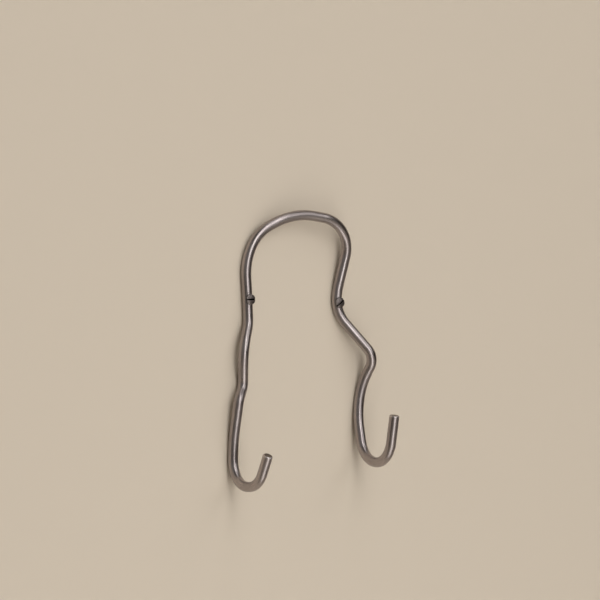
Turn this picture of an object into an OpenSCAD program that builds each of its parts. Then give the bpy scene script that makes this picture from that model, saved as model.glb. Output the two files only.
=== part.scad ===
// Double wall hook: one round rod bent into an arch with two wavy legs, each ending in a hook,
// and the two slotted screws that hold it.
// The wall is the plane y = 0, and the hooks stand out towards -Y.
// The origin lies on the wall, midway between the screws.

/* [Rod] */
// Diameter of the rod
rod_d = 6; // [5:0.5:8]
// Rounding of the edge at the two cut ends
tip_round = 0.9; // [0.3:0.1:1.5]

/* [Arch] */
// Distance between the two screws, measured level
screw_spacing = 64; // [50:1:90]
// How much lower the right screw sits than the left one
screw_step = 1.8; // [-6:0.2:6]
// Height of the arch's top bend above the middle of the screws
arch_rise = 52; // [40:0.5:70]
// How far the arch's right shoulder stands off the wall
arch_lift = 8; // [0:0.5:12]

/* [Left leg] */
// Drop from the screw to the end of the leg
left_leg_drop = 83.6; // [65:0.2:110]
// How far the end of the leg lies outside its screw
left_leg_sway = 10.2; // [4:0.2:16]
// How far the waves of the leg stand off the wall
left_leg_lift = 6; // [0:0.5:9]

/* [Right leg] */
// Drop from the screw to the end of the leg
right_leg_drop = 66.2; // [52:0.2:85]
// How far the end of the leg lies outside its screw
right_leg_sway = 15; // [6:0.2:20]
// How far the elbow of the leg stands off the wall
right_leg_lift = 10; // [0:0.5:14]

/* [Left hook] */
// Drop from the end of the leg to the bottom bend
left_hook_drop = 25.6; // [20:0.2:34]
// How far the tip stands out from the leg
left_hook_depth = 35.8; // [28:0.2:48]
// Height of the tip above the bottom bend
left_hook_rise = 18.8; // [14:0.2:30]

/* [Right hook] */
// Drop from the end of the leg to the bottom bend
right_hook_drop = 28; // [22:0.2:38]
// How far the tip stands out from the leg
right_hook_depth = 37.4; // [28:0.2:48]
// Height of the tip above the bottom bend
right_hook_rise = 28; // [18:0.2:36]

/* [Screws] */
// Outer diameter of the thread
thread_d = 3; // [2.5:0.25:3.5]
// Diameter of the plain shank that passes through the rod
shank_d = 2.6; // [2:0.1:3]
// Length from the rim of the head to the point
screw_length = 30; // [20:1:50]
// Length of the tapered point
point_length = 6; // [3:0.5:8]
// Diameter of the blunt end of the point
point_d = 0.5; // [0.2:0.1:1]
// Diameter of the head
head_d = 6; // [5.5:0.25:7.5]
// Height of the head's dome above its rim
head_raise = 0.8; // [0.4:0.1:1.5]
// Straight edge of the rim between dome and cone
rim_land = 0.2; // [0.1:0.05:0.4]
// How far the rim stands proud of the rod
head_proud = 0.7; // [0.4:0.1:1]
// Width of the driver slot
slot_w = 0.85; // [0.6:0.05:1.2]
// Depth of the driver slot below the top of the dome
slot_depth = 1.1; // [0.6:0.1:1.4]
// Turn of the slot in the left screw, in degrees
left_slot_turn = 2; // [-90:1:90]
// Turn of the slot in the right screw, in degrees
right_slot_turn = 40; // [-90:1:90]

/* [Fits] */
// Clearance round the thread where it passes the hole
hole_gap = 0.2; // [0.1:0.05:0.3]
// Clearance under the cone of the head
seat_gap = 0.05; // [0.02:0.01:0.1]

/* [Smoothness] */
// Sides of the rod's section
rod_sides = 24; // [16:4:32]
// Largest turn between two rings of a bend, in degrees
bend_step = 6; // [4:1:12]
// Rings of the rounding at a cut end
tip_rings = 4; // [2:1:6]

/* [Hidden] */
$fn = 64;

// Bends of the left leg from its end up to its screw.
// A row holds the bend's shares of the sway, the lift and the drop,
// and the share of its shorter neighbouring run that the bend rounds off.
left_leg_shares = [
    [1.00, 0.00, 1.00, 0.37],
    [0.87, 0.68, 0.70, 0.30],
    [0.27, -0.10, 0.61, 0.43],
    [0.70, 1.00, 0.36, 0.53],
    [-0.05, 0.00, 0.17, 0.24],
    [0.00, 0.00, 0.00, 0.41],
];

// Bends of the arch from left to right: shares of half the screw spacing, of the lift and of the rise,
// and the share that the bend rounds off.
arch_shares = [
    [-1.05, 0.00, 0.45, 0.50],
    [-0.78, 0.08, 0.78, 0.48],
    [-0.07, 0.68, 1.00, 0.52],
    [0.80, 1.00, 0.92, 0.48],
    [1.17, 0.56, 0.66, 0.48],
    [1.02, 0.00, 0.14, 0.24],
];

// Bends of the right leg from its screw down to its end, with the same columns as the left leg.
right_leg_shares = [
    [-0.02, 0.00, 0.00, 0.41],
    [0.16, 0.00, 0.13, 0.58],
    [1.37, 1.00, 0.49, 0.37],
    [1.19, 0.00, 0.73, 0.50],
    [1.00, 0.00, 1.00, 0.49],
];

// Heel and toe of each hook's bottom: where they lie, as shares of the depth,
// and the share of the shorter neighbouring run that each rounds off.
left_heel_share = 0.00;
left_toe_share = 0.72;
left_heel_round_share = 0.58;
left_toe_round_share = 0.42;
right_heel_share = 0.18;
right_toe_share = 0.85;
right_heel_round_share = 0.50;
right_toe_round_share = 0.49;

// Length by which every cut runs past its piece
overrun = 1;

rod_r = rod_d / 2;

// Where the rod's centre line passes each screw
screw_x = screw_spacing / 2;
screw_half_step = screw_step / 2;
left_seat = [-screw_x, -rod_r, screw_half_step];
right_seat = [screw_x, -rod_r, -screw_half_step];

hole_r = thread_d / 2 + hole_gap;
head_r = head_d / 2;

// Distances from the wall along a screw: rim of the head, top of its cone, top of the dome and point
rim_z = rod_d + head_proud;
cone_top_z = rim_z - rim_land;
dome_top_z = rim_z + head_raise;
point_z = rim_z - screw_length;

// Radius of the sphere that makes the dome
dome_r = (head_r * head_r + head_raise * head_raise) / (2 * head_raise);

// Corner points of the rod's centre line, each with its rounding, from the left tip to the right tip
left_leg = [for (s = left_leg_shares)
    let (from_screw = [-s[0] * left_leg_sway, -s[1] * left_leg_lift, -s[2] * left_leg_drop])
    [left_seat + from_screw, s[3]]];
arch = [for (s = arch_shares)
    [[s[0] * screw_x, -rod_r - s[1] * arch_lift, s[2] * arch_rise], s[3]]];
right_leg = [for (s = right_leg_shares)
    let (from_screw = [s[0] * right_leg_sway, -s[1] * right_leg_lift, -s[2] * right_leg_drop])
    [right_seat + from_screw, s[3]]];
left_hook = hook(left_leg[0][0], left_hook_drop, left_hook_depth, left_hook_rise,
    [left_heel_share, left_toe_share], [left_heel_round_share, left_toe_round_share]);
right_hook = hook(right_leg[len(right_leg) - 1][0], right_hook_drop, right_hook_depth, right_hook_rise,
    [right_heel_share, right_toe_share], [right_heel_round_share, right_toe_round_share]);
left_hook_from_tip = [for (k = [len(left_hook) - 1 : -1 : 0]) left_hook[k]];
corners = concat(left_hook_from_tip, left_leg, arch, right_leg, right_hook);

centre_line = rounded_path(corners);
directions = path_directions(centre_line);

function unit(v) = v / norm(v);

// Heel, toe and tip of a hook that hangs below the point leg_end
function hook(leg_end, drop, depth, rise, place_shares, round_shares) = [
    [leg_end - [0, depth * place_shares[0], drop], round_shares[0]],
    [leg_end - [0, depth * place_shares[1], drop], round_shares[1]],
    [leg_end - [0, depth, drop - rise], 0],
];

// Points of the arc that rounds off corner b between its neighbours a and c
function rounded_corner(a, b, c, round_share) =
    let (back = unit(a - b), ahead = unit(c - b))
    let (reach = round_share * min(norm(a - b), norm(c - b)))
    let (turn = 180 - acos(back * ahead))
    let (bend_r = reach / tan(turn / 2))
    let (middle = b + unit(back + ahead) * norm([bend_r, reach]))
    let (outward = unit(b + back * reach - middle))
    let (steps = ceil(turn / bend_step))
    [for (k = [0 : steps])
        let (angle = turn * k / steps)
        middle + bend_r * (outward * cos(angle) - back * sin(angle))];

// The whole line through a list of corners, with each inner corner rounded off
function rounded_path(list) = concat(
    [list[0][0]],
    [for (i = [1 : len(list) - 2])
        each rounded_corner(list[i - 1][0], list[i][0], list[i + 1][0], list[i][1])],
    [list[len(list) - 1][0]]
);

// Direction of the line at each of its points
function path_directions(line) = [for (i = [0 : len(line) - 1])
    let (before = i > 0 ? unit(line[i] - line[i - 1]) : [0, 0, 0])
    let (after = i < len(line) - 1 ? unit(line[i + 1] - line[i]) : [0, 0, 0])
    unit(before + after)];

// The part of v that is square to a direction, at unit length
function squared(v, direction) = unit(v - (v * direction) * direction);

// One side vector for each direction, carried along the line without twist
function carried_sides(list) = [
    for (i = 0, side = squared([1, 0, 0], list[0]); i < len(list);
        i = i + 1, side = i < len(list) ? squared(side, list[i]) : side) side];

// Stations of a rounded cut end: centre, direction and radius of each ring, from the end face inwards
function tip_stations(end, direction, inward) = [for (k = [0 : tip_rings - 1])
    let (angle = 90 * (1 - k / tip_rings))
    [end + inward * tip_round * (1 - sin(angle)), direction, rod_r - tip_round * (1 - cos(angle))]];

// Skin of round rings through a list of stations, closed by flat ends
module round_sweep(stations) {
    count = len(stations);
    sides = carried_sides([for (s = stations) s[1]]);
    points = [for (i = [0 : count - 1], k = [0 : rod_sides - 1])
        let (s = stations[i], angle = 360 * k / rod_sides)
        s[0] + s[2] * (cos(angle) * sides[i] + sin(angle) * cross(s[1], sides[i]))];
    walls = [for (i = [0 : count - 2], k = [0 : rod_sides - 1])
        let (next = (k + 1) % rod_sides, low = i * rod_sides, high = low + rod_sides)
        each [[low + k, high + k, high + next], [low + k, high + next, low + next]]];
    first_end = [for (k = [0 : rod_sides - 1]) k];
    last_end = [for (k = [rod_sides - 1 : -1 : 0]) (count - 1) * rod_sides + k];
    polyhedron(points, concat(walls, [first_end, last_end]));
}

// The bent rod without its holes
module rod_blank() {
    last = len(centre_line) - 1;
    start = tip_stations(centre_line[0], directions[0], directions[0]);
    run = [for (i = [1 : last - 1]) [centre_line[i], directions[i], rod_r]];
    finish = tip_stations(centre_line[last], directions[last], -directions[last]);
    round_sweep(concat(
        start,
        [[centre_line[0] + directions[0] * tip_round, directions[0], rod_r]],
        run,
        [[centre_line[last] - directions[last] * tip_round, directions[last], rod_r]],
        [for (k = [tip_rings - 1 : -1 : 0]) finish[k]]
    ));
}

// Places its children on the axis of the left screw (side -1) or the right one (side 1),
// with z measured from the wall out to the front
module at_screw(side) {
    translate([side * screw_x, 0, -side * screw_half_step]) rotate([90, 0, 0]) children();
}

// Drilled hole and countersink for one screw, open to the front
module screw_hole() {
    sink_h = head_r - hole_r;
    sink_top_z = cone_top_z - seat_gap;
    translate([0, 0, -overrun]) cylinder(h = rod_d + overrun, r = hole_r);
    translate([0, 0, sink_top_z - sink_h]) cylinder(h = sink_h, r1 = hole_r, r2 = head_r);
    translate([0, 0, sink_top_z]) cylinder(h = rim_land + head_raise + overrun, r = head_r);
}

// One slotted screw with a raised countersunk head; its thread starts at the wall and is left plain
module wall_screw(slot_turn) {
    cone_h = head_r - shank_d / 2;
    thread_end_z = point_z + point_length;
    difference() {
        union() {
            intersection() {
                translate([0, 0, cone_top_z]) cylinder(h = rim_land + head_raise, r = head_r);
                translate([0, 0, dome_top_z - dome_r]) sphere(r = dome_r);
            }
            translate([0, 0, cone_top_z - cone_h]) cylinder(h = cone_h, r1 = shank_d / 2, r2 = head_r);
            cylinder(h = cone_top_z - cone_h, d = shank_d);
            translate([0, 0, thread_end_z]) cylinder(h = -thread_end_z, d = thread_d);
            translate([0, 0, point_z]) cylinder(h = point_length, d1 = point_d, d2 = thread_d);
        }
        rotate([0, 0, slot_turn])
            translate([-head_r - overrun, -slot_w / 2, dome_top_z - slot_depth])
                cube([head_d + 2 * overrun, slot_w, slot_depth + overrun]);
    }
}

module bent_rod() {
    color([0.58, 0.55, 0.53])
        difference() {
            rod_blank();
            at_screw(-1) screw_hole();
            at_screw(1) screw_hole();
        }
}

module wall_screws() {
    color([0.42, 0.40, 0.38]) {
        at_screw(-1) wall_screw(left_slot_turn);
        at_screw(1) wall_screw(right_slot_turn);
    }
}

bent_rod();
wall_screws();
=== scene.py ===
"""Double wall hook: one bent steel rod and the two slotted screws that hold it, dressed and lit."""
import logging
import math
from collections.abc import Iterable, Sequence
from dataclasses import dataclass, field
from enum import Enum
from typing import Union

import bmesh
import bpy
from mathutils import Matrix, Vector
from mathutils.kdtree import KDTree


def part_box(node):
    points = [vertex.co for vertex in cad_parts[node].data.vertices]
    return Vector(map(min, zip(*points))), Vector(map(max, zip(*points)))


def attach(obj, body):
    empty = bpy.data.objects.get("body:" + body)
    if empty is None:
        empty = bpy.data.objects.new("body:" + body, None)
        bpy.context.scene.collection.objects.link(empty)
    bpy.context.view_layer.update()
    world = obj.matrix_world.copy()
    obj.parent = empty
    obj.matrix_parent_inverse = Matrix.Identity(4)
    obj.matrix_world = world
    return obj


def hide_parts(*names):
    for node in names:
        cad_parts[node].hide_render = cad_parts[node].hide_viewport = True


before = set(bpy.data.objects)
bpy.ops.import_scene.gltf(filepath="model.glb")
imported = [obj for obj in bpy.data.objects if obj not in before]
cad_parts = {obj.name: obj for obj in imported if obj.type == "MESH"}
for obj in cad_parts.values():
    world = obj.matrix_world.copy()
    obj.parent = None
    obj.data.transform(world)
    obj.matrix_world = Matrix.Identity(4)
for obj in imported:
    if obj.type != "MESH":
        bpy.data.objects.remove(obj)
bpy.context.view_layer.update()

LOG = logging.getLogger("wall_hook")
BODY = "root"
MM = 0.001
MERGE_DIST = 0.002 * MM
PLACE = "own_place"

Triple = tuple[float, float, float]
Colour = Triple
Band = tuple[float, float]


class Side(Enum):
    """The two sides of the hook, as seen from the room."""

    LEFT = -1
    RIGHT = 1


@dataclass(frozen=True)
class Bend:
    """One bend of the rod, in shares of the sizes that it follows.

    Args:
        across: Share of the sideways size.
        lift: Share of the distance off the wall.
        height: Share of the drop or the rise.
        rounding: Share of the shorter neighbouring run that the bend rounds off.
    """

    across: float
    lift: float
    height: float
    rounding: float


@dataclass(frozen=True)
class Corner:
    """A corner of the rod's centre line and the share of its shorter run that is rounded off."""

    place: Vector
    rounding: float


@dataclass(frozen=True)
class Station:
    """A ring of the rod: its centre, its direction, its distance along the line and its radius."""

    centre: Vector
    direction: Vector
    along: float
    radius: float


@dataclass(frozen=True)
class ScrewPlan:
    """Sizes of one slotted raised countersunk screw; heights run from the wall to the front."""

    rod_d: float = 6 * MM
    thread_d: float = 3 * MM
    core_d: float = 2.1 * MM
    shank_d: float = 2.6 * MM
    pitch: float = 1.35 * MM
    crest_w: float = 0.12 * MM
    length: float = 30 * MM
    point_length: float = 6 * MM
    point_d: float = 0.5 * MM
    head_d: float = 6 * MM
    head_raise: float = 0.8 * MM
    rim_land: float = 0.2 * MM
    head_proud: float = 0.7 * MM
    slot_w: float = 0.85 * MM
    slot_depth: float = 1.1 * MM
    hole_gap: float = 0.2 * MM
    seat_gap: float = 0.05 * MM
    edge_round: float = 0.06 * MM
    spacing: float = 64 * MM
    step: float = 1.8 * MM

    @property
    def head_r(self) -> float:
        """Radius of the head."""
        return self.head_d / 2

    @property
    def rim_z(self) -> float:
        """Height of the head's rim."""
        return self.rod_d + self.head_proud

    @property
    def cone_top_z(self) -> float:
        """Height at which the cone under the head is widest."""
        return self.rim_z - self.rim_land

    @property
    def dome_top_z(self) -> float:
        """Height of the top of the dome."""
        return self.rim_z + self.head_raise

    @property
    def dome_r(self) -> float:
        """Radius of the sphere that makes the dome."""
        return (self.head_r**2 + self.head_raise**2) / (2 * self.head_raise)

    @property
    def point_z(self) -> float:
        """Height of the point, behind the wall."""
        return self.rim_z - self.length

    def seat(self, side: Side) -> Vector:
        """Place on the wall where the screw of one side enters it."""
        return Vector((side.value * self.spacing / 2, 0.0, -side.value * self.step / 2))

    def stance(self, side: Side, turn: float = 0.0) -> Matrix:
        """Matrix that stands a screw made along +Z on its seat, with its head to the front.

        Args:
            side: The screw's side of the hook.
            turn: Turn of the slot about the screw's axis, in degrees.

        Returns:
            The matrix from the screw's own place to the hook's frame.
        """
        tip_over = Matrix.Rotation(math.radians(90), 4, "X")
        turned = Matrix.Rotation(math.radians(turn), 4, "Z")
        return Matrix.Translation(self.seat(side)) @ tip_over @ turned


class Wire:
    """A node's output that takes part in Python expressions."""

    def __init__(self, shop: "ShaderShop", socket: bpy.types.NodeSocket) -> None:
        """Keeps the socket and the shop that adds its nodes."""
        self.shop = shop
        self.socket = socket

    def _math(self, operation: str, first: "Feed", second: "Feed" = 0.0) -> "Wire":
        """One Math node on two values."""
        return self.shop.node("ShaderNodeMath", {"operation": operation}, {0: first, 1: second})

    def __add__(self, other: "Feed") -> "Wire":
        """self + other"""
        return self._math("ADD", self, other)

    def __radd__(self, other: "Feed") -> "Wire":
        """other + self"""
        return self._math("ADD", other, self)

    def __sub__(self, other: "Feed") -> "Wire":
        """self - other"""
        return self._math("SUBTRACT", self, other)

    def __rsub__(self, other: "Feed") -> "Wire":
        """other - self"""
        return self._math("SUBTRACT", other, self)

    def __mul__(self, other: "Feed") -> "Wire":
        """self * other"""
        return self._math("MULTIPLY", self, other)

    def root(self) -> "Wire":
        """Square root."""
        return self._math("SQRT", self)

    def sine(self) -> "Wire":
        """Sine of an angle in radians."""
        return self._math("SINE", self)

    def magnitude(self) -> "Wire":
        """Value without its sign."""
        return self._math("ABSOLUTE", self)

    def rise(self, low: float, high: float) -> "Wire":
        """Smooth step from 0 at low to 1 at high; high may lie below low.

        Args:
            low: Value at which the result is 0.
            high: Value at which the result is 1.

        Returns:
            The eased value.
        """
        settings = {"interpolation_type": "SMOOTHSTEP"}
        return self.shop.node("ShaderNodeMapRange", settings, {0: self, 1: low, 2: high})


Feed = Union[Wire, float, tuple, Vector]


class ShaderShop:
    """Builds the node tree of one material or world."""

    def __init__(self, tree: bpy.types.NodeTree) -> None:
        """Empties the tree that the nodes go into."""
        self.tree = tree
        tree.nodes.clear()

    def node(
        self, kind: str, settings: dict, inputs: dict, output: Union[int, str] = 0
    ) -> Wire:
        """Adds any node.

        Args:
            kind: The node's type name.
            settings: Its settings by name, set before its sockets.
            inputs: Values or wires by the socket's name or number.
            output: Name or number of the output that is returned.

        Returns:
            A wire from that output, or from the first input of a node without outputs.
        """
        made = self.tree.nodes.new(kind)
        for name, value in settings.items():
            setattr(made, name, value)
        for key, feed in inputs.items():
            if isinstance(feed, Wire):
                self.tree.links.new(feed.socket, made.inputs[key])
            else:
                made.inputs[key].default_value = feed
        return Wire(self, made.outputs[output] if len(made.outputs) else made.inputs[0])

    def place(self) -> Wire:
        """The piece's own place, kept in its mesh, in metres."""
        return self.node("ShaderNodeAttribute", {"attribute_name": PLACE}, {}, "Vector")

    def parts(self, vector: Wire) -> tuple[Wire, Wire, Wire]:
        """Splits a vector.

        Args:
            vector: The vector.

        Returns:
            Its three numbers.
        """
        first = self.node("ShaderNodeSeparateXYZ", {}, {0: vector})
        node = first.socket.node
        return first, Wire(self, node.outputs[1]), Wire(self, node.outputs[2])

    def vector_math(self, operation: str, first: Wire, second: Union[Triple, Vector]) -> Wire:
        """One Vector Math node on two vectors."""
        return self.node("ShaderNodeVectorMath", {"operation": operation}, {0: first, 1: second})

    def noise(self, vector: Wire, scale: Triple, detail: float) -> Wire:
        """Soft noise from 0 to 1.

        Args:
            vector: Place at which it is read.
            scale: Spots a metre along each of the three directions.
            detail: Octaves.

        Returns:
            The noise's value.
        """
        stretched = self.vector_math("MULTIPLY", vector, scale)
        inputs = {"Vector": stretched, "Scale": 1.0, "Detail": detail}
        return self.node("ShaderNodeTexNoise", {}, inputs)

    def blend(self, share: Wire, low: Union[Wire, Colour], high: Union[Wire, Colour]) -> Wire:
        """Mix of two colours.

        Args:
            share: 0 gives the low colour and 1 the high one.
            low: Colour at 0.
            high: Colour at 1.

        Returns:
            The mixed colour.
        """
        low, high = (c if isinstance(c, Wire) else (*c, 1.0) for c in (low, high))
        return self.node("ShaderNodeMix", {"data_type": "RGBA"}, {0: share, 6: low, 7: high}, 2)

    def bump(self, height: Wire, distance: float) -> Wire:
        """Normal from a height.

        Args:
            height: Height, from 0 to 1.
            distance: Metres that a height of 1 stands for.

        Returns:
            The normal.
        """
        inputs = {"Height": height, "Distance": distance, "Strength": 1.0}
        return self.node("ShaderNodeBump", {}, inputs)

    def finish(self, inputs: dict) -> None:
        """Ends a material's tree with a Principled surface.

        Args:
            inputs: Values or wires by the name of the surface's socket.
        """
        surface = self.node("ShaderNodeBsdfPrincipled", {}, inputs)
        self.node("ShaderNodeOutputMaterial", {}, {"Surface": surface})


def new_material(name: str) -> tuple[bpy.types.Material, ShaderShop]:
    """A node material and the shop for its tree.

    Args:
        name: Name of the material.

    Returns:
        The material and its shop.
    """
    material = bpy.data.materials.new(name)
    material.use_nodes = True
    return material, ShaderShop(material.node_tree)


@dataclass(frozen=True)
class DrawnSteel:
    """Satin bar: drawn streaks, tarnish, bending marks, filed ends with a painted highlight on
    their rounding, painted dark end faces for their shade and reflection, and painted shade round
    the screws.

    The noise scales count spots a metre, twice across the bar and then along it. The bands are the
    noise values between which a mark comes up, the shares how far each mark changes the colour, and
    the heights how far it stands out in the relief.
    """

    plan: ScrewPlan
    name: str = "drawn_steel"
    bright: Colour = (0.415, 0.372, 0.367)
    dull: Colour = (0.330, 0.293, 0.289)
    # sawn end faces: real saw lines, with a dark colour that is painted shade and painted dark
    # reflection
    sawn_and_shaded: Colour = (0.17, 0.138, 0.122)
    # filed rounding at the tips: lighter worked metal, and also a painted highlight that widens its
    # glint
    filed_and_highlit: Colour = (0.62, 0.57, 0.55)
    # painted shade: near-black colour in a thin ring round each screw head, standing in for the
    # head's contact shadow on the rod
    painted_shade: Colour = (0.030, 0.024, 0.020)
    streaks: Triple = (3200.0, 3200.0, 45.0)
    tarnish: Triple = (260.0, 260.0, 70.0)
    marks: Triple = (120.0, 120.0, 1500.0)
    waves: Triple = (60.0, 60.0, 75.0)
    saw_lines: Triple = (4200.0, 300.0, 300.0)
    fine_detail: float = 4.0
    coarse_detail: float = 2.0
    tarnish_band: Band = (0.38, 0.72)
    mark_band: Band = (0.60, 0.75)
    wave_band: Band = (0.50, 0.62)
    tarnish_share: float = 0.7
    streak_share: float = 0.3
    mark_share: float = 0.5
    filed_highlight_share: float = 0.8
    sawn_and_shaded_share: float = 0.9
    shade_share: float = 0.7
    roughness: float = 0.28
    streak_roughness: float = 0.45
    tarnish_roughness: float = 0.10
    end_roughness: float = 0.12
    shade_roughness: float = 0.3
    streak_height: float = 0.10
    mark_height: float = 0.25
    saw_height: float = 0.5
    relief: float = 0.05 * MM
    saw_depth: float = 0.12 * MM
    file_and_glint_depth: float = 1.2 * MM
    shade_w: float = 0.45 * MM
    shade_depth: Band = (0.75, 0.9)

    def ring(self, shop: ShaderShop, side: Side) -> Wire:
        """Mask of the painted contact shade round one screw's head.

        Args:
            shop: The shop of the material.
            side: The screw's side of the hook.

        Returns:
            1 at the head's rim, 0 away from it and on the rod's flanks.
        """
        at = shop.node("ShaderNodeTexCoord", {}, {}, "Object")
        across, depth, up = shop.parts(shop.vector_math("SUBTRACT", at, self.plan.seat(side)))
        from_axis = (across * across + up * up).root()
        rim = from_axis.rise(self.plan.head_r + self.shade_w, self.plan.head_r)
        flank, front = (-share * self.plan.rod_d for share in self.shade_depth)
        return rim * depth.rise(flank, front)

    def make(self, length: float) -> bpy.types.Material:
        """Builds the material.

        Args:
            length: Length of the bar along its centre line.

        Returns:
            The material.
        """
        material, shop = new_material(self.name)
        place = shop.place()
        _, _, along = shop.parts(place)
        streak = shop.noise(place, self.streaks, self.fine_detail)
        tarnish = shop.noise(place, self.tarnish, self.fine_detail).rise(*self.tarnish_band)
        wave = shop.noise(place, self.waves, self.coarse_detail)
        mark = shop.noise(place, self.marks, self.coarse_detail).rise(*self.mark_band)
        mark = mark * wave.rise(*self.wave_band)
        from_end = length / 2 - (along - length / 2).magnitude()
        # the end faces keep their saw lines; their dark colour is painted shade and painted dark
        # reflection
        sawn_and_shaded = from_end.rise(self.saw_depth, 0.0)
        # the filed rounding at each tip is lighter metal and also carries a painted highlight
        filed_and_highlit = from_end.rise(self.file_and_glint_depth, self.file_and_glint_depth / 2) * (1.0 - sawn_and_shaded)
        saw_line = shop.noise(place, self.saw_lines, self.coarse_detail) * sawn_and_shaded
        # painted shade round both heads, where each head shades the rod
        painted_shade = self.ring(shop, Side.LEFT) + self.ring(shop, Side.RIGHT)
        faded = tarnish * self.tarnish_share + streak * self.streak_share
        colour = shop.blend(faded, self.bright, self.dull)
        colour = shop.blend(mark * self.mark_share, colour, self.dull)
        colour = shop.blend(filed_and_highlit * self.filed_highlight_share, colour, self.filed_and_highlit)
        colour = shop.blend(sawn_and_shaded * self.sawn_and_shaded_share, colour, self.sawn_and_shaded)
        colour = shop.blend(painted_shade * self.shade_share, colour, self.painted_shade)
        rough = self.roughness + (streak - 0.5) * self.streak_roughness
        rough = rough + tarnish * self.tarnish_roughness
        rough = rough + (sawn_and_shaded + filed_and_highlit) * self.end_roughness + painted_shade * self.shade_roughness
        height = streak * self.streak_height + mark * self.mark_height + wave
        height = height + saw_line * self.saw_height
        shop.finish(
            {
                "Base Color": colour,
                "Metallic": 1.0,
                "Roughness": rough,
                "Normal": shop.bump(height, self.relief),
            }
        )
        return material


@dataclass(frozen=True)
class TurnedSteel:
    """Plain screw steel: turning rings, a worn rim, scratches, painted shade in the slot, a clean
    thread.

    Scales, bands, shares and heights are as on the bar.
    """

    plan: ScrewPlan
    name: str = "turned_steel"
    bright: Colour = (0.215, 0.188, 0.182)
    dull: Colour = (0.11, 0.095, 0.091)
    worn: Colour = (0.42, 0.38, 0.365)
    clean: Colour = (0.50, 0.475, 0.455)
    # painted shade: near-black colour on the slot's floor, standing in for the shade in that recess
    painted_shade: Colour = (0.010, 0.008, 0.007)
    spots: Triple = (900.0, 900.0, 900.0)
    scratches: Triple = (2600.0, 400.0, 400.0)
    spot_detail: float = 4.0
    scratch_detail: float = 3.0
    spot_band: Band = (0.35, 0.65)
    worn_band: Band = (0.45, 0.6)
    spot_share: float = 0.7
    scratch_share: float = 0.3
    spot_on_clean: float = 0.5
    roughness: float = 0.46
    scratch_roughness: float = 0.3
    worn_gloss: float = 0.12
    shade_roughness: float = 0.4
    ring_w: float = 0.16 * MM
    ring_waver: float = 3.0
    ring_height: float = 0.3
    scratch_height: float = 0.6
    spot_height: float = 0.8
    relief: float = 0.02 * MM
    worn_w: float = 0.45 * MM
    clean_edge: float = 0.5 * MM
    soft_edge: float = 0.04 * MM

    def make(self) -> bpy.types.Material:
        """Builds the material.

        Returns:
            The material.
        """
        plan, edge = self.plan, self.soft_edge
        material, shop = new_material(self.name)
        place = shop.place()
        across, up, out = shop.parts(place)
        from_axis = (across * across + up * up).root()
        spot = shop.noise(place, self.spots, self.spot_detail)
        scratch = shop.noise(place, self.scratches, self.scratch_detail)
        turn = from_axis * (math.tau / self.ring_w) + spot * self.ring_waver
        ring = turn.sine() * 0.5 + 0.5
        half_slot, slot_floor = plan.slot_w / 2, plan.dome_top_z - plan.slot_depth
        in_slot = up.magnitude().rise(half_slot + edge, half_slot)
        # painted shade on the slot's floor, which the lamps would otherwise light
        painted_shade = in_slot * out.rise(slot_floor - 2 * edge, slot_floor - edge)
        worn = from_axis.rise(plan.head_r - self.worn_w, plan.head_r)
        worn = worn * scratch.rise(*self.worn_band)
        worn = worn * out.rise(plan.cone_top_z - 2 * edge, plan.cone_top_z)
        clean = out.rise(self.clean_edge, -self.clean_edge) * (1.0 - spot * self.spot_on_clean)
        faded = spot.rise(*self.spot_band) * self.spot_share + scratch * self.scratch_share
        colour = shop.blend(faded, self.bright, self.dull)
        colour = shop.blend(worn, colour, self.worn)
        colour = shop.blend(clean, colour, self.clean)
        colour = shop.blend(painted_shade, colour, self.painted_shade)
        rough = self.roughness + (scratch - 0.5) * self.scratch_roughness
        rough = rough - worn * self.worn_gloss + painted_shade * self.shade_roughness
        height = ring * self.ring_height + scratch * self.scratch_height
        height = (height + spot * self.spot_height) * (1.0 - painted_shade)
        shop.finish(
            {
                "Base Color": colour,
                "Metallic": 1.0,
                "Roughness": rough,
                "Normal": shop.bump(height, self.relief),
            }
        )
        return material


@dataclass(frozen=True)
class PaleScreen:
    """Plain pale stage surface that shows its front face only."""

    name: str
    colour: Colour
    roughness: float = 0.9

    def make(self) -> bpy.types.Material:
        """Builds the material, clear from behind.

        Returns:
            The material.
        """
        material, shop = new_material(self.name)
        back = shop.node("ShaderNodeNewGeometry", {}, {}, "Backfacing")
        inputs = {"Base Color": (*self.colour, 1.0), "Roughness": self.roughness}
        front = shop.node("ShaderNodeBsdfPrincipled", {}, inputs)
        clear = shop.node("ShaderNodeBsdfTransparent", {}, {})
        surface = shop.node("ShaderNodeMixShader", {}, {0: back, 1: front, 2: clear})
        shop.node("ShaderNodeOutputMaterial", {}, {"Surface": surface})
        return material


def put_in_scene(name: str, bm: bmesh.types.BMesh) -> bpy.types.Object:
    """Turns a finished bmesh into an object at the origin.

    Args:
        name: Name of the piece.
        bm: Its bmesh, which is freed.

    Returns:
        The object.
    """
    mesh = bpy.data.meshes.new(name)
    bm.to_mesh(mesh)
    bm.free()
    made = bpy.data.objects.new(name, mesh)
    bpy.context.scene.collection.objects.link(made)
    return made


def sweep(
    bm: bmesh.types.BMesh, loop: Sequence[bmesh.types.BMEdge], stances: Sequence[Matrix]
) -> list[bmesh.types.BMEdge]:
    """Extrudes a closed loop of edges through a row of stances; the loop stands in the first.

    Args:
        bm: The bmesh that holds the loop.
        loop: The loop's edges.
        stances: Matrices of the rings, in order.

    Returns:
        The edges of the last ring.
    """
    edges = list(loop)
    for before, after in zip(stances, stances[1:]):
        grown = bmesh.ops.extrude_edge_only(bm, edges=edges)["geom"]
        verts = [g for g in grown if isinstance(g, bmesh.types.BMVert)]
        edges = [g for g in grown if isinstance(g, bmesh.types.BMEdge)]
        bmesh.ops.transform(bm, matrix=after @ before.inverted(), verts=verts)
    return edges


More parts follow.
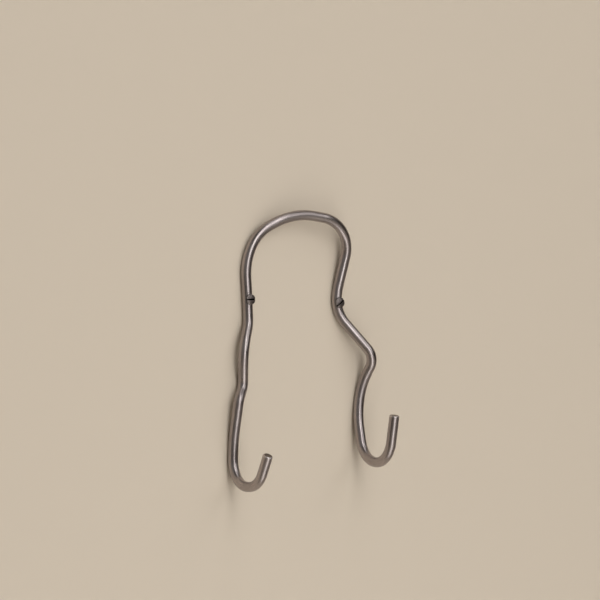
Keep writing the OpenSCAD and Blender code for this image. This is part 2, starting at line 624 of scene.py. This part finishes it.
def revolve(profile: Iterable[tuple[float, float]], segments: int) -> bmesh.types.BMesh:
    """Spins a profile about Z into a closed solid.

    Args:
        profile: Distance from the axis and height of each point, from the lower end to the upper.
        segments: Sides of the solid.

    Returns:
        A bmesh of the solid.
    """
    bm = bmesh.new()
    verts = [bm.verts.new((x, 0.0, z)) for x, z in profile]
    edges = [bm.edges.new(pair) for pair in zip(verts, verts[1:])]
    bmesh.ops.spin(
        bm,
        geom=verts + edges,
        cent=(0, 0, 0),
        axis=(0, 0, 1),
        angle=math.tau,
        steps=segments,
        use_merge=True,
    )
    bmesh.ops.remove_doubles(bm, verts=bm.verts, dist=MERGE_DIST)
    bmesh.ops.recalc_face_normals(bm, faces=bm.faces)
    return bm


def cut_away(piece: bpy.types.Object, cutters: Sequence[bpy.types.Object]) -> None:
    """Cuts solids out of a piece and removes them.

    Args:
        piece: The piece that is cut.
        cutters: The solids to cut with.
    """
    for cutter in cutters:
        cut = piece.modifiers.new(cutter.name, "BOOLEAN")
        cut.operation = "DIFFERENCE"
        cut.solver = "EXACT"
        cut.object = cutter
    whole = piece.data
    graph = bpy.context.evaluated_depsgraph_get()
    piece.data = bpy.data.meshes.new_from_object(piece.evaluated_get(graph))
    piece.modifiers.clear()
    bpy.data.meshes.remove(whole)
    for cutter in cutters:
        bpy.data.meshes.remove(cutter.data)


def smooth_but_sharp(mesh: bpy.types.Mesh, angle: float = 32.0) -> None:
    """Shades a mesh smooth apart from its sharp edges.

    Args:
        mesh: The mesh.
        angle: Turn between two faces, in degrees, from which their edge is sharp.
    """
    mesh.shade_smooth()
    mesh.set_sharp_from_angle(angle=math.radians(angle))


def keep_places(mesh: bpy.types.Mesh, places: Sequence[Vector]) -> None:
    """Stores each vertex's own place on the piece in the mesh, for its finish.

    Args:
        mesh: The mesh.
        places: One place for each vertex, in metres.
    """
    layer = mesh.attributes.new(PLACE, "FLOAT_VECTOR", "POINT")
    layer.data.foreach_set("vector", [number for place in places for number in place])


@dataclass(frozen=True)
class Leg:
    """One wavy leg and the hook at its end; its bends run from the screw down.

    Heel and toe are the hook's two lower bends: their share of its depth and their rounding.
    """

    side: Side
    sway: float
    lift: float
    drop: float
    bends: tuple[Bend, ...]
    hook_drop: float
    hook_depth: float
    hook_rise: float
    heel: Band
    toe: Band

    def corners(self, seat: Vector) -> list[Corner]:
        """Corners from the screw to the tip of the hook.

        Args:
            seat: Where the centre line passes the screw.

        Returns:
            The corners, the tip with no rounding.
        """
        found = []
        for bend in self.bends:
            across = self.side.value * bend.across * self.sway
            shift = Vector((across, -bend.lift * self.lift, -bend.height * self.drop))
            found.append(Corner(seat + shift, bend.rounding))
        end = found[-1].place
        for out_share, rounding in (self.heel, self.toe):
            shift = Vector((0, out_share * self.hook_depth, self.hook_drop))
            found.append(Corner(end - shift, rounding))
        to_tip = Vector((0, self.hook_depth, self.hook_drop - self.hook_rise))
        found.append(Corner(end - to_tip, 0.0))
        return found


LEFT_LEG = Leg(
    side=Side.LEFT,
    sway=10.2 * MM,
    lift=6 * MM,
    drop=83.6 * MM,
    bends=(
        Bend(0.00, 0.00, 0.00, 0.41),
        Bend(-0.05, 0.00, 0.17, 0.24),
        Bend(0.70, 1.00, 0.36, 0.53),
        Bend(0.27, -0.10, 0.61, 0.43),
        Bend(0.87, 0.68, 0.70, 0.30),
        Bend(1.00, 0.00, 1.00, 0.37),
    ),
    hook_drop=25.6 * MM,
    hook_depth=35.8 * MM,
    hook_rise=18.8 * MM,
    heel=(0.00, 0.58),
    toe=(0.72, 0.42),
)

RIGHT_LEG = Leg(
    side=Side.RIGHT,
    sway=15 * MM,
    lift=10 * MM,
    drop=66.2 * MM,
    bends=(
        Bend(-0.02, 0.00, 0.00, 0.41),
        Bend(0.16, 0.00, 0.13, 0.58),
        Bend(1.37, 1.00, 0.49, 0.37),
        Bend(1.19, 0.00, 0.73, 0.50),
        Bend(1.00, 0.00, 1.00, 0.49),
    ),
    hook_drop=28 * MM,
    hook_depth=37.4 * MM,
    hook_rise=28 * MM,
    heel=(0.18, 0.50),
    toe=(0.85, 0.49),
)


@dataclass
class BentRod:
    """The round rod, bent into an arch with two wavy legs and a hook at each end.

    The arch's bends run from the left screw to the right one; the bend step is in degrees.
    """

    screw: ScrewPlan
    diameter: float = 6 * MM
    tip_round: float = 0.9 * MM
    arch_rise: float = 52 * MM
    arch_lift: float = 8 * MM
    arch: tuple[Bend, ...] = (
        Bend(-1.05, 0.00, 0.45, 0.50),
        Bend(-0.78, 0.08, 0.78, 0.48),
        Bend(-0.07, 0.68, 1.00, 0.52),
        Bend(0.80, 1.00, 0.92, 0.48),
        Bend(1.17, 0.56, 0.66, 0.48),
        Bend(1.02, 0.00, 0.14, 0.24),
    )
    left_leg: Leg = LEFT_LEG
    right_leg: Leg = RIGHT_LEG
    sides: int = 64
    bend_step: float = 2.5
    tip_rings: int = 8
    hole_sides: int = 96
    overrun: float = 1 * MM
    stations: list[Station] = field(default_factory=list)

    @property
    def radius(self) -> float:
        """Radius of the rod."""
        return self.diameter / 2

    def corners(self) -> list[Corner]:
        """Works out the corners of the whole centre line.

        Returns:
            The corners from the left tip to the right one.
        """
        off_wall = Vector((0, -self.radius, 0))
        left = self.left_leg.corners(self.screw.seat(Side.LEFT) + off_wall)
        right = self.right_leg.corners(self.screw.seat(Side.RIGHT) + off_wall)
        half = self.screw.spacing / 2
        top = []
        for bend in self.arch:
            lift, rise = -bend.lift * self.arch_lift, bend.height * self.arch_rise
            shift = Vector((bend.across * half, lift, rise))
            top.append(Corner(off_wall + shift, bend.rounding))
        return left[::-1] + top + right

    def rounded(self, before: Corner, corner: Corner, after: Corner) -> list[Vector]:
        """Points of the arc that rounds off one corner.

        Args:
            before: The corner before it.
            corner: The corner that is rounded off.
            after: The corner after it.

        Returns:
            The arc's points.
        """
        back, ahead = before.place - corner.place, after.place - corner.place
        reach = corner.rounding * min(back.length, ahead.length)
        back.normalize()
        ahead.normalize()
        turn = math.pi - back.angle(ahead)
        bend_r = reach / math.tan(turn / 2)
        middle = corner.place + (back + ahead).normalized() * math.hypot(bend_r, reach)
        outward = (corner.place + back * reach - middle).normalized()
        steps = math.ceil(math.degrees(turn) / self.bend_step)
        angles = [turn * k / steps for k in range(steps + 1)]
        spokes = [outward * math.cos(angle) - back * math.sin(angle) for angle in angles]
        return [middle + bend_r * spoke for spoke in spokes]

    def centre_line(self) -> list[Vector]:
        """Rounds off the corners of the centre line.

        Returns:
            Its points from the left tip to the right one.
        """
        corners = self.corners()
        line = [corners[0].place]
        for triple in zip(corners, corners[1:], corners[2:]):
            line += self.rounded(*triple)
        return line + [corners[-1].place]

    def plan_stations(self) -> None:
        """Works out the rings of the rod, with its two rounded tips."""
        line = self.centre_line()
        runs = [(b - a).normalized() for a, b in zip(line, line[1:])]
        along = [0.0]
        for a, b in zip(line, line[1:]):
            along.append(along[-1] + (b - a).length)
        self.stations = self.tip(line[0], runs[0], 0.0, 1)
        for k in range(1, len(line) - 1):
            direction = (runs[k - 1] + runs[k]).normalized()
            self.stations.append(Station(line[k], direction, along[k], self.radius))
        self.stations += self.tip(line[-1], runs[-1], along[-1], -1)[::-1]

    def tip(self, end: Vector, direction: Vector, along: float, inward: int) -> list[Station]:
        """Rings of one rounded tip, from its end face inwards.

        Args:
            end: Centre of the end face.
            direction: Direction of the rod there.
            along: Distance of the end along the rod.
            inward: 1 where the rod runs on along its direction, -1 where it comes from there.

        Returns:
            The rings.
        """
        rings = []
        for k in range(self.tip_rings + 1):
            angle = math.pi / 2 * (1 - k / self.tip_rings)
            depth = inward * self.tip_round * (1 - math.sin(angle))
            radius = self.radius - self.tip_round * (1 - math.cos(angle))
            rings.append(Station(end + direction * depth, direction, along + depth, radius))
        return rings

    def stances(self) -> list[Matrix]:
        """Works out the stance of each ring, carried along the rod without twist.

        Returns:
            Matrices that stand a unit circle in each ring.
        """
        found = []
        side = Vector((1, 0, 0))
        for station in self.stations:
            ahead = station.direction
            side = (side - side.dot(ahead) * ahead).normalized()
            stance = Matrix((side, ahead.cross(side), ahead)).transposed().to_4x4()
            stance.translation = station.centre
            found.append(stance @ Matrix.Diagonal((station.radius, station.radius, 1, 1)))
        return found

    def screw_hole(self, side: Side) -> bpy.types.Object:
        """Solid of one drilled and countersunk hole.

        Args:
            side: Which of the two holes.

        Returns:
            The solid to cut with.
        """
        screw = self.screw
        hole_r = screw.thread_d / 2 + screw.hole_gap
        sink_top = screw.cone_top_z - screw.seat_gap
        top = screw.dome_top_z + self.overrun
        profile = [
            (0, -self.overrun),
            (hole_r, -self.overrun),
            (hole_r, sink_top - (screw.head_r - hole_r)),
            (screw.head_r, sink_top),
            (screw.head_r, top),
            (0, top),
        ]
        bm = revolve(profile, self.hole_sides)
        bmesh.ops.transform(bm, matrix=screw.stance(side), verts=bm.verts)
        return put_in_scene(f"{side.name.lower()}_hole", bm)

    def build(self) -> bpy.types.Object:
        """Sweeps the rod, closes its ends and cuts its two screw holes.

        Returns:
            The rod.
        """
        self.plan_stations()
        stances = self.stances()
        bm = bmesh.new()
        bmesh.ops.create_circle(
            bm, cap_ends=True, segments=self.sides, radius=1.0, matrix=stances[0]
        )
        first_end = list(bm.faces)
        last_ring = sweep(bm, bm.edges[:], stances)
        last_end = bmesh.ops.contextual_create(bm, geom=last_ring)["faces"]
        for end in (first_end, last_end):
            bmesh.ops.inset_region(
                bm, faces=end, thickness=self.tip_round / 2, use_even_offset=True
            )
        bmesh.ops.recalc_face_normals(bm, faces=bm.faces)
        rod = put_in_scene("bent_steel_rod", bm)
        cut_away(rod, [self.screw_hole(side) for side in Side])
        self.draw_in(rod.data)
        return rod

    def draw_in(self, mesh: bpy.types.Mesh) -> None:
        """Draws the fine sweep into the box of the solid, whose flat facets fall a hair short.

        Each half of the rod shrinks towards the origin, which lies between the screws.

        Args:
            mesh: The rod's mesh.
        """
        for axis, (low, high) in enumerate(zip(*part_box("bent_rod"))):
            reach = [vert.co[axis] for vert in mesh.vertices]
            low_share = low / min(low, *reach)
            high_share = high / max(high, *reach) if high > 0 else 1.0
            for vert in mesh.vertices:
                vert.co[axis] *= high_share if vert.co[axis] > 0 else low_share

    def straightened(self, mesh: bpy.types.Mesh) -> list[Vector]:
        """Finds each vertex's place on the rod as it was before bending.

        Args:
            mesh: The rod's mesh.

        Returns:
            One place for each vertex, across the section and along the rod, in metres.
        """
        tree = KDTree(len(self.stations))
        for k, station in enumerate(self.stations):
            tree.insert(station.centre, k)
        tree.balance()
        back = [stance.inverted() for stance in self.stances()]
        places = []
        for vert in mesh.vertices:
            k = tree.find(vert.co)[1]
            own = back[k] @ vert.co
            near = self.stations[k]
            places.append(Vector((own.x * near.radius, own.y * near.radius, near.along + own.z)))
        return places

    def dress(self, rod: bpy.types.Object) -> None:
        """Gives the rod its finish and its place in the frame.

        Args:
            rod: The rod's object.
        """
        smooth_but_sharp(rod.data)
        keep_places(rod.data, self.straightened(rod.data))
        rod.data.materials.clear()
        rod.data.materials.append(DrawnSteel(self.screw).make(self.stations[-1].along))
        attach(rod, BODY)
        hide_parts("bent_rod")


@dataclass
class WallScrews:
    """The two slotted screws with raised countersunk heads, and their threads."""

    plan: ScrewPlan
    left_turn: float = 2.0
    right_turn: float = 40.0
    sides: int = 64
    dome_rings: int = 8
    edge_steps: int = 2
    crisp_angle: float = 35.0
    rim_slack: float = 0.01 * MM
    slot_reach: float = 9 * MM
    thread_steps: int = 28
    thread_sink: float = 0.12 * MM
    thread_start: float = -0.4 * MM
    bare_point: float = 1 * MM
    foot_share: float = 0.36

    def profile(self) -> list[tuple[float, float]]:
        """Draws half a section of the screw's body.

        Returns:
            Distance from the axis and height of each point, from the tip to the top of the dome.
        """
        plan = self.plan
        shank_r, core_r = plan.shank_d / 2, plan.core_d / 2
        points = [
            (0, plan.point_z),
            (plan.point_d / 2, plan.point_z),
            (core_r, plan.point_z + plan.point_length),
            (core_r, -plan.pitch),
            (shank_r, -plan.pitch / 2),
            (shank_r, plan.cone_top_z - (plan.head_r - shank_r)),
            (plan.head_r - plan.edge_round, plan.cone_top_z - plan.edge_round),
            (plan.head_r, plan.cone_top_z),
        ]
        widest = math.asin(plan.head_r / plan.dome_r)
        for k in range(self.dome_rings + 1):
            angle = widest * (1 - k / self.dome_rings)
            height = plan.dome_top_z - plan.dome_r * (1 - math.cos(angle))
            points.append((plan.dome_r * math.sin(angle), height))
        return points

    def slot_cutter(self) -> bpy.types.Object:
        """Makes the bar that cuts the driver slot; half of it stands above the dome.

        Returns:
            The bar.
        """
        plan = self.plan
        bm = bmesh.new()
        middle = Matrix.Translation((0, 0, plan.dome_top_z))
        sizes = Matrix.Diagonal((self.slot_reach, plan.slot_w, 2 * plan.slot_depth, 1))
        bmesh.ops.create_cube(bm, size=1.0, matrix=middle @ sizes)
        return put_in_scene("slot_bar", bm)

    def thread_stances(self) -> list[Matrix]:
        """Works out the turns of the thread, which runs out at both ends.

        Returns:
            Stances of the ridge's section from the wall to the point.
        """
        plan = self.plan
        taper_z = plan.point_z + plan.point_length
        end_z = plan.point_z + self.bare_point
        count = int((self.thread_start - end_z) / plan.pitch * self.thread_steps)
        stances = []
        for k in range(count + 1):
            height = self.thread_start - plan.pitch * k / self.thread_steps
            taper = min(1.0, (height - plan.point_z) / (taper_z - plan.point_z))
            run_out = min(1.0, min(k + 1, count + 1 - k) / self.thread_steps)
            turn = Matrix.Rotation(-math.tau * k / self.thread_steps, 4, "Z")
            deep = (plan.core_d / 2 - self.thread_sink) * taper
            grow = Matrix.Diagonal((taper * run_out, 1, run_out, 1))
            stances.append(turn @ Matrix.Translation((deep, 0, height)) @ grow)
        return stances

    def add_thread(self, bm: bmesh.types.BMesh) -> None:
        """Winds the thread's ridge round the core.

        Args:
            bm: The bmesh of the screw's body.
        """
        plan = self.plan
        stances = self.thread_stances()
        ridge_h = plan.thread_d / 2 - plan.core_d / 2 + self.thread_sink
        foot, crest = plan.pitch * self.foot_share, plan.crest_w / 2
        section = [(0, -foot), (ridge_h, -crest), (ridge_h, crest), (0, foot)]
        verts = [bm.verts.new(stances[0] @ Vector((x, 0, z))) for x, z in section]
        loop = [bm.edges.new(pair) for pair in zip(verts, verts[1:] + verts[:1])]
        first = bm.faces.new(verts)
        last = bmesh.ops.contextual_create(bm, geom=sweep(bm, loop, stances))["faces"]
        island = {first, *last}
        grow = list(island)
        while grow:
            face = grow.pop()
            near = {f for edge in face.edges for f in edge.link_faces} - island
            island |= near
            grow += near
        bmesh.ops.recalc_face_normals(bm, faces=list(island))

    def one_screw(self) -> bmesh.types.BMesh:
        """Makes a screw along +Z at the origin.

        Returns:
            Its bmesh.
        """
        body = put_in_scene("screw_body", revolve(self.profile(), self.sides))
        cut_away(body, [self.slot_cutter()])
        bm = bmesh.new()
        bm.from_mesh(body.data)
        bpy.data.meshes.remove(body.data)
        crisp = [
            edge
            for edge in bm.edges
            if len(edge.link_faces) == 2
            and edge.calc_face_angle() > math.radians(self.crisp_angle)
            and min(vert.co.z for vert in edge.verts) > self.plan.rim_z - self.rim_slack
        ]
        bmesh.ops.bevel(
            bm,
            geom=crisp,
            offset=self.plan.edge_round,
            affect="EDGES",
            segments=self.edge_steps,
            profile=0.5,
            clamp_overlap=True,
            material=-1,
        )
        self.add_thread(bm)
        return bm

    def build(self) -> bpy.types.Object:
        """Makes both screws as one piece, each on its seat and with its slot turned.

        Returns:
            The screws.
        """
        places: list[Vector] = []
        both = bmesh.new()
        for side, turn in ((Side.LEFT, self.left_turn), (Side.RIGHT, self.right_turn)):
            single = self.one_screw()
            places += [vert.co.copy() for vert in single.verts]
            stance = self.plan.stance(side, turn)
            bmesh.ops.transform(single, matrix=stance, verts=single.verts)
            mesh = bpy.data.meshes.new(side.name)
            single.to_mesh(mesh)
            single.free()
            both.from_mesh(mesh)
            bpy.data.meshes.remove(mesh)
        screws = put_in_scene("slotted_wall_screws", both)
        keep_places(screws.data, places)
        return screws

    def dress(self, screws: bpy.types.Object) -> None:
        """Gives the screws their finish and their place in the frame.

        Args:
            screws: The screws' object.
        """
        smooth_but_sharp(screws.data)
        screws.data.materials.clear()
        screws.data.materials.append(TurnedSteel(self.plan).make())
        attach(screws, BODY)
        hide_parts("wall_screws")


@dataclass(frozen=True)
class Lamp:
    """A soft studio lamp that faces its aim, turned about its own axis by its lean.

    Lean and spread are in degrees.
    """

    name: str
    towards: Triple
    distance: float
    width: float
    height: float
    power: float
    lean: float = 0.0
    aim: Triple = (0.0, 0.0, 0.0)
    spread: float = 180.0
    colour: Colour = (1.0, 0.98, 0.96)

    def build(self) -> None:
        """Hangs the lamp, out of the camera's sight."""
        data = bpy.data.lights.new(self.name, "AREA")
        data.shape = "RECTANGLE"
        data.size, data.size_y = self.width, self.height
        data.energy = self.power
        data.spread = math.radians(self.spread)
        data.color = self.colour
        lamp = bpy.data.objects.new(self.name, data)
        bpy.context.scene.collection.objects.link(lamp)
        away = Vector(self.towards).normalized()
        lamp.location = Vector(self.aim) + away * self.distance
        facing = away.to_track_quat("Z", "Y").to_matrix()
        leant = Matrix.Rotation(math.radians(self.lean), 3, "Z")
        lamp.rotation_euler = (facing @ leant).to_euler()
        lamp.visible_camera = False


@dataclass
class Studio:
    """Pale wall and floor, soft lamps and the camera at the photograph's viewing angle.

    The frame width is the width that the picture takes in at the wall; lengths are in metres.
    """

    wall_colour: Colour = (0.75, 0.665, 0.55)
    floor_colour: Colour = (0.64, 0.59, 0.52)
    world_colour: Colour = (0.034, 0.027, 0.021)
    wall_size: float = 4.4
    floor_size: float = 60.0
    floor_z: float = -1.5
    view_azimuth: float = -35.0
    view_distance: float = 4.0
    view_end: float = 50.0
    frame_width: float = 0.35294
    sensor: float = 36.0
    aim_right: float = 6.18 * MM
    aim_up: float = 0.59 * MM
    lamps: tuple[Lamp, ...] = (
        Lamp("key_lamp", (-0.13, -1.0, 0.31), distance=3.0, width=1.3, height=3.4, power=36.0),
        Lamp("top_lamp", (-0.03, -0.5, 0.87), distance=2.5, width=0.9, height=2.0, power=8.0),
        Lamp(
            "high_lamp",
            (0.46, -0.73, 0.52),
            distance=3.2,
            width=1.1,
            height=3.0,
            power=15.0,
            lean=-28.0,
        ),
        Lamp(
            "low_lamp",
            (-0.06, -0.733, -0.676),
            distance=1.25,
            width=0.62,
            height=1.42,
            power=3.8,
            lean=4.0,
        ),
        Lamp("side_lamp", (-1.0, -0.45, 0.4), distance=3.0, width=2.4, height=2.6, power=4.0),
        Lamp("rear_lamp", (-0.4, 1.0, 1.3), distance=2.6, width=2.4, height=2.4, power=50.0),
        Lamp(
            "floor_lamp",
            (0.0, 0.0, 1.0),
            distance=5.0,
            width=14.0,
            height=9.0,
            power=130.0,
            aim=(0.0, -6.5, -1.5),
            spread=60.0,
        ),
    )

    def screen(self, name: str, size: float, stance: Matrix, colour: Colour) -> None:
        """Makes one plain stage sheet.

        Args:
            name: Name of the sheet.
            size: Length of its sides.
            stance: Where it stands; its front is its +Z side.
            colour: Its colour.
        """
        bm = bmesh.new()
        bmesh.ops.create_grid(bm, x_segments=1, y_segments=1, size=size / 2, matrix=stance)
        sheet = put_in_scene(name, bm)
        sheet.data.materials.append(PaleScreen(f"{name}_paint", colour).make())

    def light_world(self) -> None:
        """Gives the room its plain dim tone."""
        world = bpy.data.worlds.new("dim_room")
        world.use_nodes = True
        shop = ShaderShop(world.node_tree)
        inputs = {"Color": (*self.world_colour, 1.0), "Strength": 1.0}
        tone = shop.node("ShaderNodeBackground", {}, inputs)
        shop.node("ShaderNodeOutputWorld", {}, {"Surface": tone})
        bpy.context.scene.world = world

    def set_camera(self) -> None:
        """Sets the camera at the photograph's viewing angle and framing."""
        azimuth = math.radians(self.view_azimuth)
        back = Vector((math.sin(azimuth), -math.cos(azimuth), 0))
        right = Vector((math.cos(azimuth), math.sin(azimuth), 0))
        data = bpy.data.cameras.new("view")
        data.sensor_width = self.sensor
        data.lens = self.sensor * self.view_distance / self.frame_width
        data.clip_end = self.view_end
        camera = bpy.data.objects.new("view", data)
        bpy.context.scene.collection.objects.link(camera)
        aim = right * self.aim_right + Vector((0, 0, self.aim_up))
        camera.location = back * self.view_distance + aim
        camera.rotation_euler = back.to_track_quat("Z", "Y").to_euler()
        bpy.context.scene.camera = camera

    def build(self) -> None:
        """Sets up the stage, the lamps and the camera."""
        upright = Matrix.Rotation(math.radians(90), 4, "X")
        level = Matrix.Translation((0, 0, self.floor_z))
        self.screen("pale_wall", self.wall_size, upright, self.wall_colour)
        self.screen("pale_floor", self.floor_size, level, self.floor_colour)
        self.light_world()
        for lamp in self.lamps:
            lamp.build()
        self.set_camera()
        bpy.context.scene.view_settings.view_transform = "Standard"


def main() -> None:
    """Builds the hook's pieces in order, dresses them and sets the stage."""
    logging.basicConfig(level=logging.INFO, format="%(name)s: %(message)s")
    plan = ScrewPlan()
    for maker in (BentRod(plan), WallScrews(plan)):
        piece = maker.build()
        maker.dress(piece)
        LOG.info("%s has %d faces", piece.name, len(piece.data.polygons))
    Studio().build()


if __name__ == "__main__":
    main()
